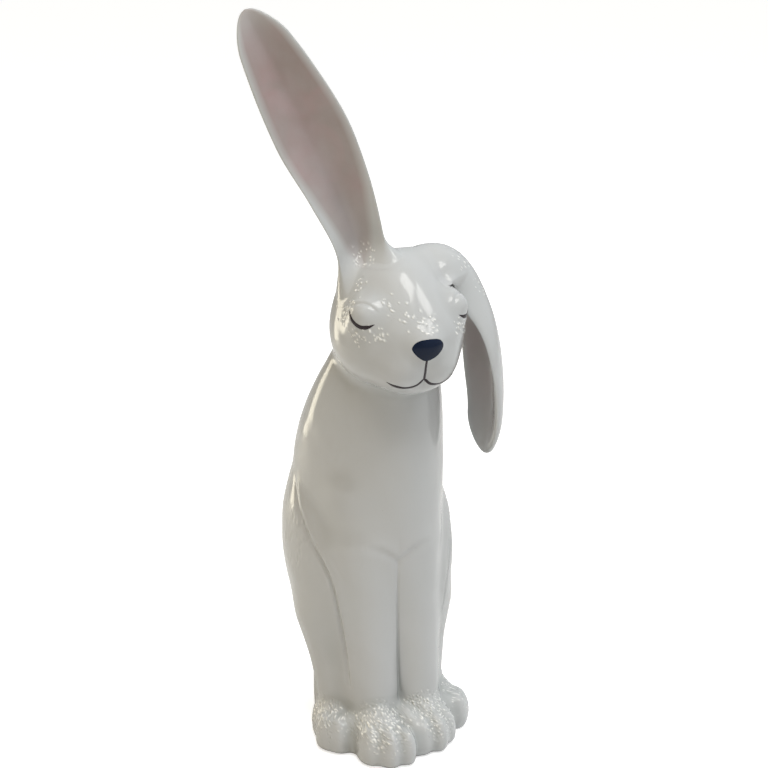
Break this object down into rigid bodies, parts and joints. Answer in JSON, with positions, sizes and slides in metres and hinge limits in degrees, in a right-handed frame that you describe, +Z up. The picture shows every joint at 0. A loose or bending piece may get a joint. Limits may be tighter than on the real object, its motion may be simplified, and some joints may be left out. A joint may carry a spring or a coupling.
{
  "type": "ceramic rabbit figurine",
  "caption": "Tall glazed ceramic rabbit sitting upright with its eyes closed, one ear standing and one drooping; a free-standing ornament.",
  "frame": {"origin": "on the flat foot, under the middle of the body", "axes": "+Z up, the rabbit looks along -Y, its own left side is +X"},
  "size_m": [0.1463, 0.1307, 0.4176],
  "materials": {
    "white_glaze": "gloss",
    "ear_glaze": "gloss",
    "nose_glaze": "gloss",
    "line_glaze": "gloss"
  },
  "bodies": {
    "root": {"body_casting": "white_glaze", "head_casting": "white_glaze", "ear_upright": "ear_glaze", "ear_drooping": "ear_glaze", "tail": "white_glaze", "nose": "nose_glaze", "mouth_line": "line_glaze", "eye_line_left": "line_glaze", "eye_line_right": "line_glaze"}
  },
  "joints": []
}
